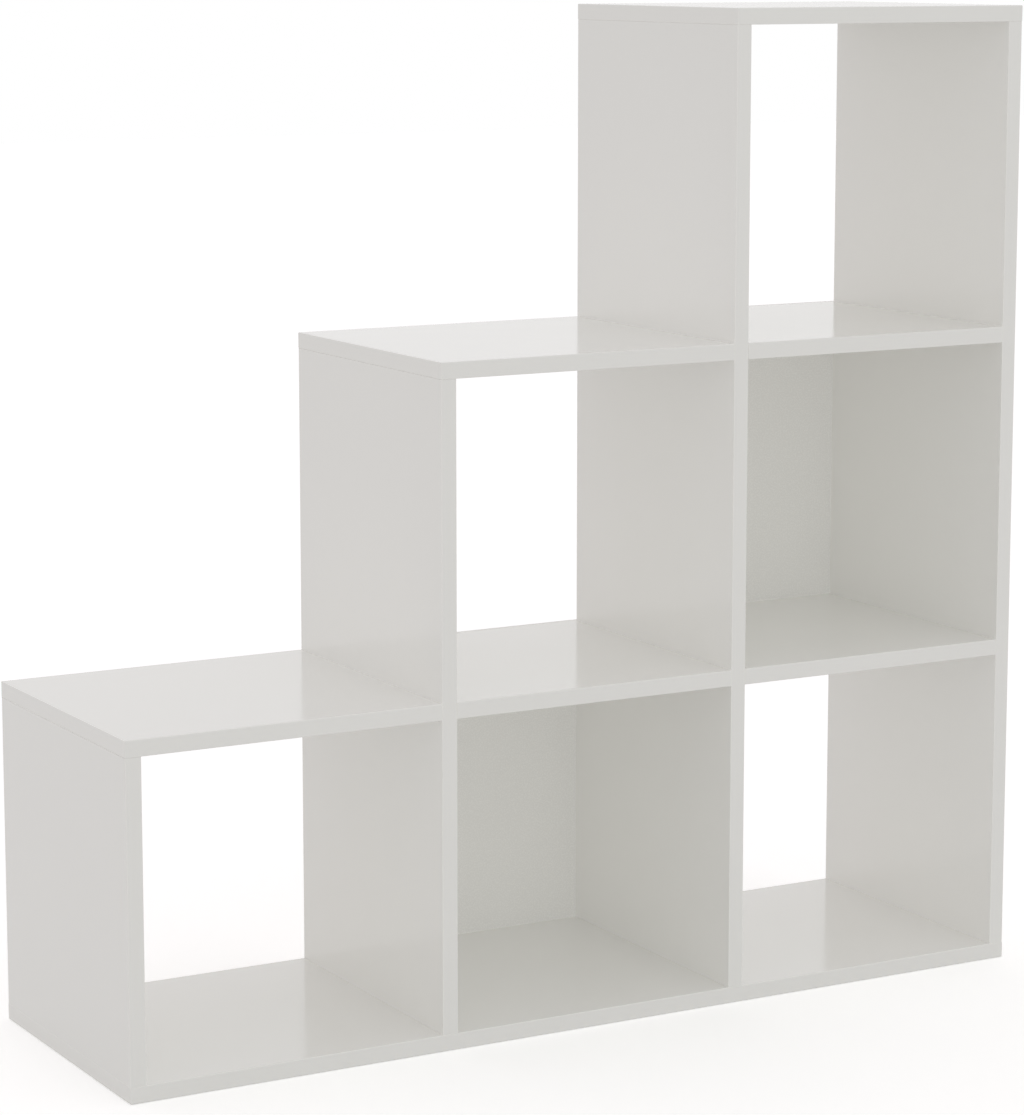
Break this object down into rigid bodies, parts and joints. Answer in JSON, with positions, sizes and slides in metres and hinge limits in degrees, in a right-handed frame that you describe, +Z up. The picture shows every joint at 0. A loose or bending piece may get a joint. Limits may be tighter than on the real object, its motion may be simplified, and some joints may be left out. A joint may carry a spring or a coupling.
{
  "type": "staircase bookshelf",
  "caption": "Free-standing stepped bookshelf of white boards with square open bays, some closed by a thin back, whose tops rise like stairs.",
  "frame": {"origin": "on the floor, under the middle of the shelf's outline", "axes": "+X along the front to the right, the way the steps rise; +Y to the rear; +Z up"},
  "size_m": [0.976, 0.305, 0.976],
  "materials": {
    "white_board": "satin white melamine on particle board",
    "white_back": "satin white film on thin fibreboard",
    "white_edge_band": "satin white edge strip",
    "beech": "plain beech",
    "cast_zinc": "bare zinc casting",
    "plated_steel": "zinc-plated steel"
  },
  "bodies": {
    "root": {"bottom_panel": "white_board", "left_side": "white_board", "first_divider": "white_board", "second_divider": "white_board", "right_side": "white_board", "first_step_top": "white_board", "second_step_top": "white_board", "third_step_top": "white_board", "centre_shelf": "white_board", "right_lower_shelf": "white_board", "right_upper_shelf": "white_board", "centre_back_panel": "white_back", "right_back_panel": "white_back", "bottom_panel_front_band": "white_edge_band", "bottom_panel_rear_band": "white_edge_band", "bottom_panel_left_band": "white_edge_band", "bottom_panel_right_band": "white_edge_band", "left_side_front_band": "white_edge_band", "left_side_rear_band": "white_edge_band", "first_divider_front_band": "white_edge_band", "first_divider_rear_band": "white_edge_band", "second_divider_front_band": "white_edge_band", "second_divider_rear_band": "white_edge_band", "right_side_front_band": "white_edge_band", "right_side_rear_band": "white_edge_band", "first_step_top_front_band": "white_edge_band", "first_step_top_rear_band": "white_edge_band", "first_step_top_left_band": "white_edge_band", "second_step_top_front_band": "white_edge_band", "second_step_top_rear_band": "white_edge_band", "second_step_top_left_band": "white_edge_band", "third_step_top_front_band": "white_edge_band", "third_step_top_rear_band": "white_edge_band", "third_step_top_left_band": "white_edge_band", "third_step_top_right_band": "white_edge_band", "centre_shelf_front_band": "white_edge_band", "centre_shelf_rear_band": "white_edge_band", "right_lower_shelf_front_band": "white_edge_band", "right_lower_shelf_rear_band": "white_edge_band", "right_upper_shelf_front_band": "white_edge_band", "right_upper_shelf_rear_band": "white_edge_band", "short_dowels": "beech", "long_dowels": "beech", "cam_discs": "cast_zinc", "base_screws": "plated_steel", "cam_bolts": "plated_steel", "double_cam_bolts": "plated_steel", "back_screws": "plated_steel"}
  },
  "joints": []
}
